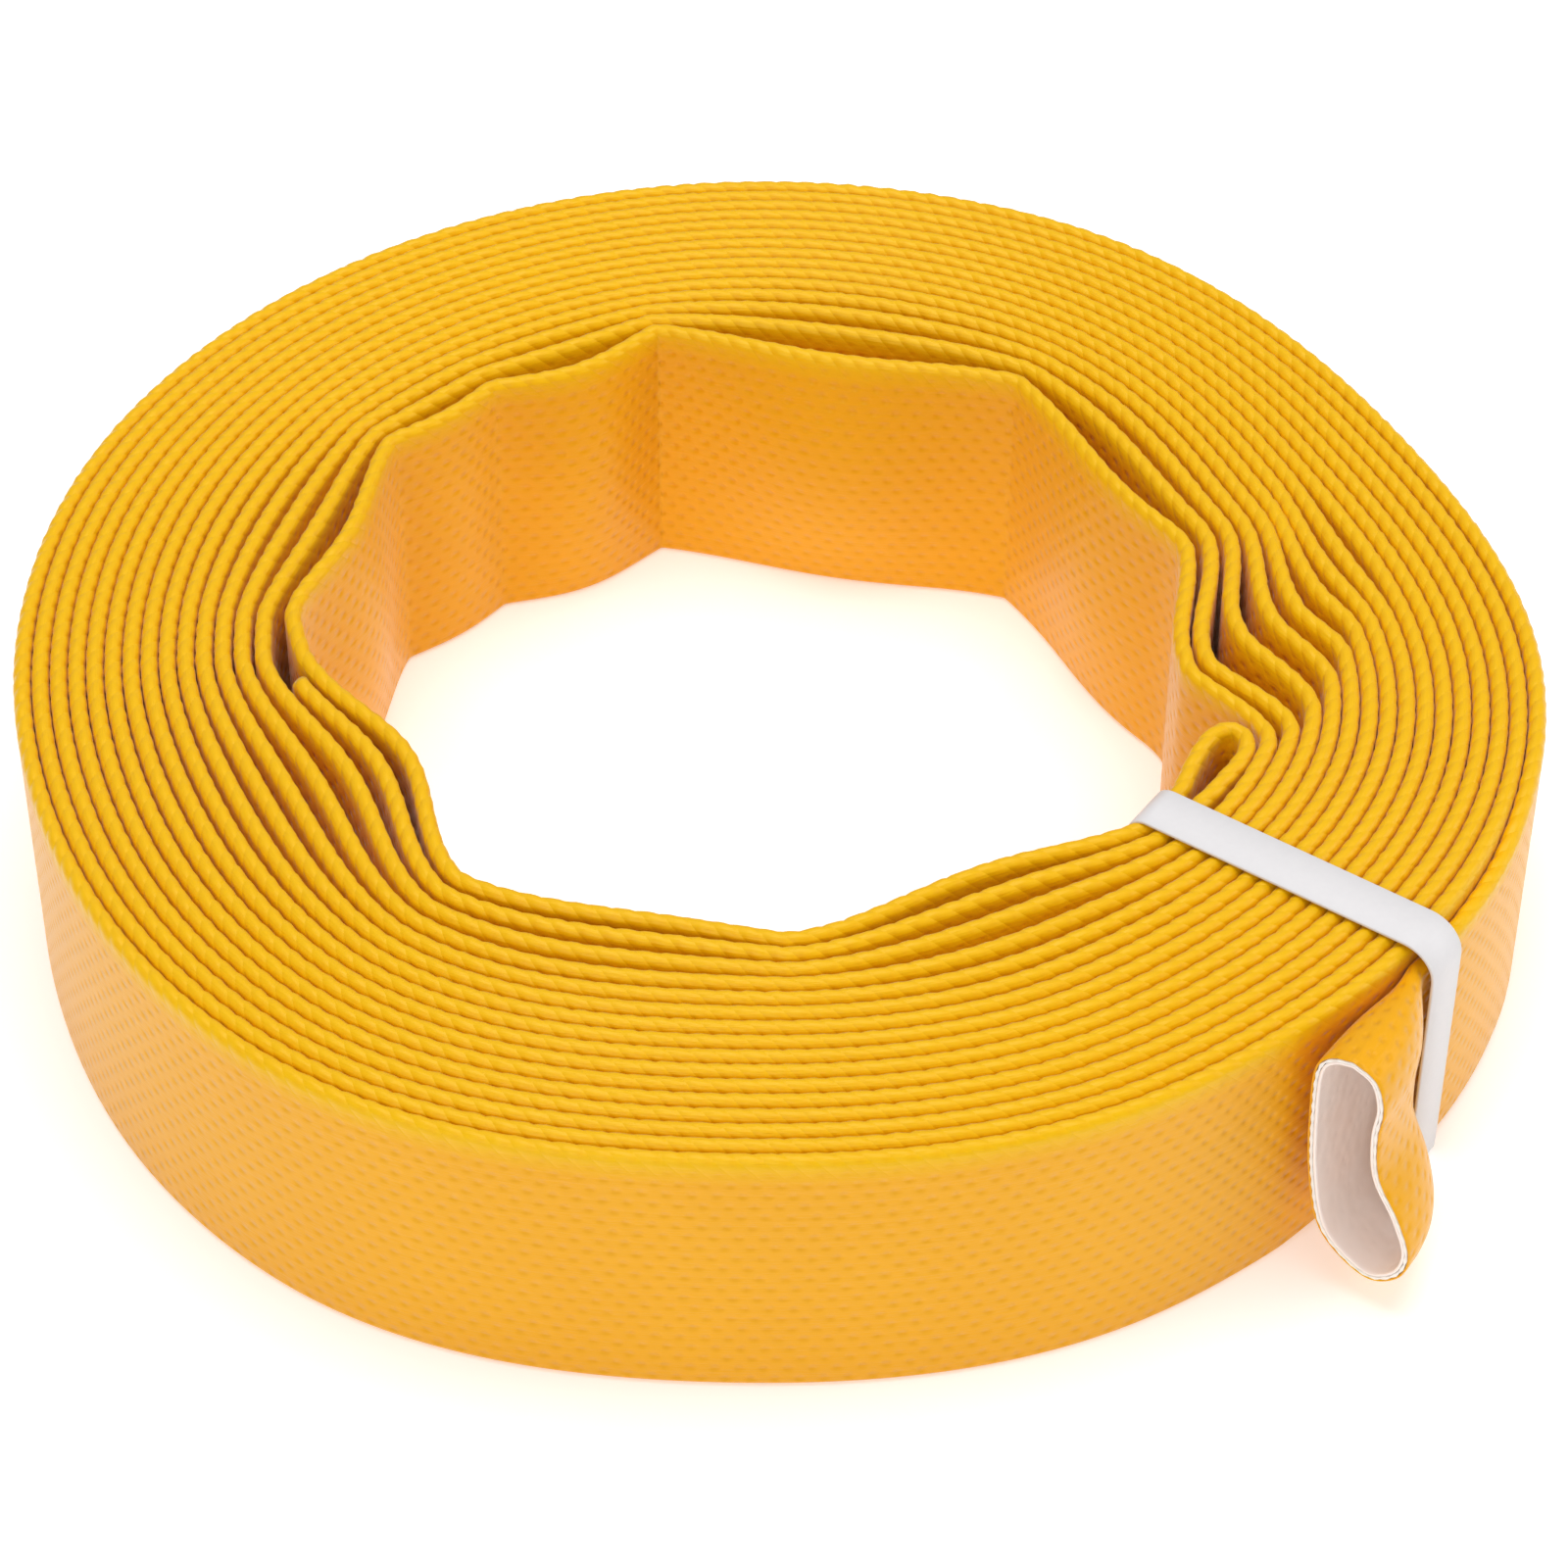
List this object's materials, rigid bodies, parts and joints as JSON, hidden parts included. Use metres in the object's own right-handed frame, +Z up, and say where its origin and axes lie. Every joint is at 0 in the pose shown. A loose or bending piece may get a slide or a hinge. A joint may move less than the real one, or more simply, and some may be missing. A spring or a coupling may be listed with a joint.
{
  "type": "rolled layflat fire hose",
  "caption": "Flat-wound layflat delivery hose in a tight roll, held by a thin band, with one bare end opening into a mouth beside the roll.",
  "frame": {"origin": "middle of the roll's outline, on the surface that it stands on", "axes": "+Z up along the winding axis, across the hose's flat width; -Y is the front, and the loose end's mouth is at the right of the front"},
  "size_m": [0.2548, 0.2486, 0.0531],
  "materials": {
    "hose_cover": "soft plasticised vinyl cover, satin with a low sheen, with the woven yarn showing through",
    "hose_lining": "smooth white vinyl lining with the yarn showing through",
    "polyester_yarn": "woven polyester yarn, matt",
    "band_plastic": "white plastic strap, matt"
  },
  "bodies": {
    "roll": {"coil_cover": "hose_cover", "coil_lining": "hose_lining"},
    "free_end": {"free_end_cover": "hose_cover", "free_end_reinforcement": "polyester_yarn", "free_end_lining": "hose_lining"},
    "band": {"retaining_band": "band_plastic"}
  },
  "joints": [
    {"name": "free_end_flex", "type": "hinge", "parent": "roll", "child": "free_end", "pos_m": [0.10146, -0.08222, 0.026], "axis": [0, 0, 1], "range_deg": [0, 60], "stiffness_Nm_per_rad": 0.02},
    {"name": "band_slide_round", "type": "hinge", "parent": "roll", "child": "band", "pos_m": [-0.00243, -0.00238, 0.026], "axis": [0, 0, 1], "range_deg": [0, 8]}
  ]
}
